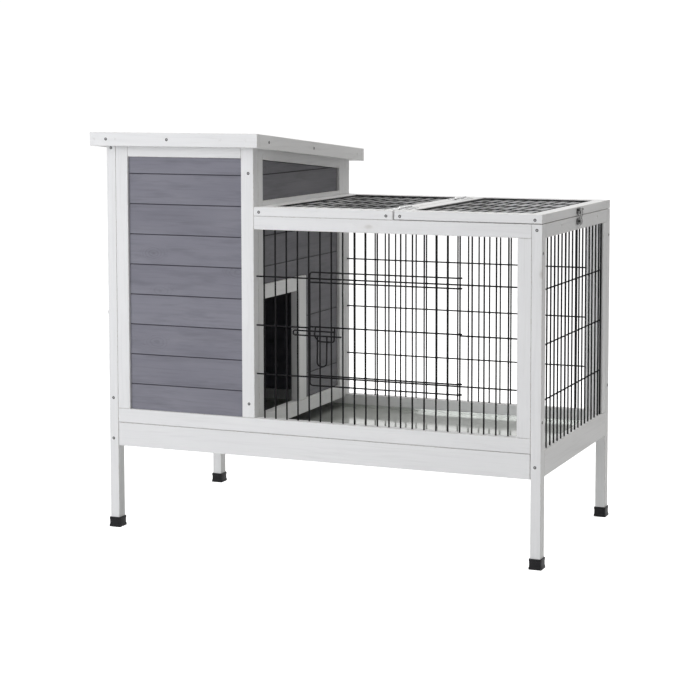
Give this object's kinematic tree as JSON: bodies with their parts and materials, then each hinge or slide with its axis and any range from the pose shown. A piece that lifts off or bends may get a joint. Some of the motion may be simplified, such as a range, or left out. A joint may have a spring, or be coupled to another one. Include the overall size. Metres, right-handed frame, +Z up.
{
  "type": "rabbit hutch",
  "caption": "Raised wooden rabbit hutch: plank house with a sloping roof beside a low wire run, with a top lid, wire door, side door and pull-out tray.",
  "frame": {"origin": "on the floor, under the middle of the hutch with its roof", "axes": "+X from the house to the run, +Y from the front to the back, +Z up"},
  "size_m": [0.9222, 0.5206, 0.7874],
  "materials": {
    "white_painted_wood": "white satin paint, thin enough to show faint grain and knots",
    "grey_painted_wood": "grey matt stain over pine planks, with grain and knots showing",
    "black_wire": "black powder-coated wire",
    "black_plastic": "moulded black plastic",
    "tray_metal": "pale grey-green coated sheet with a soft gloss",
    "roof_board": "board faced with grey mineral roofing felt",
    "zinc_plated_steel": "dull zinc plating"
  },
  "bodies": {
    "hutch": {"back_base_rail": "white_painted_wood", "back_left_foot": "black_plastic", "back_left_leg": "white_painted_wood", "back_middle_post": "white_painted_wood", "back_right_foot": "black_plastic", "back_right_leg": "white_painted_wood", "doorway_frame": "white_painted_wood", "fixed_top_frame": "white_painted_wood", "fixed_top_mesh": "black_wire", "front_base_rail": "white_painted_wood", "front_left_foot": "black_plastic", "front_left_leg": "white_painted_wood", "front_middle_post": "white_painted_wood", "front_right_foot": "black_plastic", "front_right_leg": "white_painted_wood", "hasp_catch": "zinc_plated_steel", "house_back_planks": "grey_painted_wood", "house_front_planks": "grey_painted_wood", "house_front_rail": "white_painted_wood", "house_front_stile": "white_painted_wood", "house_side_rail": "white_painted_wood", "left_base_rail": "white_painted_wood", "lid_back_hinge_fixed_leaf": "zinc_plated_steel", "lid_front_hinge_fixed_leaf": "zinc_plated_steel", "partition_back_stile": "white_painted_wood", "partition_bottom_rail": "white_painted_wood", "partition_front_stile": "white_painted_wood", "partition_middle_rail": "white_painted_wood", "partition_planks": "grey_painted_wood", "partition_top_rail": "white_painted_wood", "right_base_rail": "white_painted_wood", "roof_board": "roof_board", "roof_fascia": "white_painted_wood", "run_back_mesh": "black_wire", "run_back_rail": "white_painted_wood", "run_back_stile": "white_painted_wood", "run_front_mesh": "black_wire", "run_front_rail": "white_painted_wood", "run_front_stile": "white_painted_wood", "run_side_mesh": "black_wire", "run_side_rail": "white_painted_wood", "run_side_stile": "white_painted_wood", "side_door_eye": "zinc_plated_steel", "side_door_lower_hinge_fixed_leaf": "zinc_plated_steel", "side_door_upper_hinge_fixed_leaf": "zinc_plated_steel"},
    "tray": {"tray_pan": "tray_metal", "tray_front_board": "white_painted_wood"},
    "lid": {"lid_frame": "white_painted_wood", "lid_mesh": "black_wire", "lid_front_hinge_moving_leaf": "zinc_plated_steel", "lid_back_hinge_moving_leaf": "zinc_plated_steel", "hasp_plate": "zinc_plated_steel"},
    "hasp": {"hasp_strap": "zinc_plated_steel"},
    "wire_door": {"wire_door": "black_wire"},
    "bolt": {"wire_door_bolt": "black_wire"},
    "side_door": {"side_door_frame": "white_painted_wood", "side_door_planks": "grey_painted_wood", "side_door_lower_hinge_moving_leaf": "zinc_plated_steel", "side_door_upper_hinge_moving_leaf": "zinc_plated_steel"},
    "hook": {"side_door_hook": "zinc_plated_steel"}
  },
  "joints": [
    {"name": "tray_slide", "type": "slide", "parent": "hutch", "child": "tray", "axis": [0, -1, 0], "range_m": [0, 0.4]},
    {"name": "lid_hinge", "type": "hinge", "parent": "hutch", "child": "lid", "pos_m": [0.16675, 0, 0.6504], "axis": [0, -1, 0], "range_deg": [0, 145]},
    {"name": "hasp_swing", "type": "hinge", "parent": "lid", "child": "hasp", "pos_m": [0.45855, 0.00115, 0.6424], "axis": [0, -1, 0], "range_deg": [0, 150]},
    {"name": "wire_door_hinge", "type": "hinge", "parent": "hutch", "child": "wire_door", "pos_m": [0.29438, -0.22135, 0.418], "axis": [0, 0, 1], "range_deg": [0, 150]},
    {"name": "wire_door_bolt_slide", "type": "slide", "parent": "wire_door", "child": "bolt", "axis": [1, 0, 0], "range_m": [0, 0.034]},
    {"name": "side_door_hinge", "type": "hinge", "parent": "hutch", "child": "side_door", "pos_m": [-0.44395, 0.21015, 0.454], "axis": [0, 0, -1], "range_deg": [0, 170]},
    {"name": "side_door_hook_swing", "type": "hinge", "parent": "side_door", "child": "hook", "pos_m": [-0.44135, -0.1941, 0.43], "axis": [1, 0, 0], "range_deg": [-65, 90]}
  ]
}
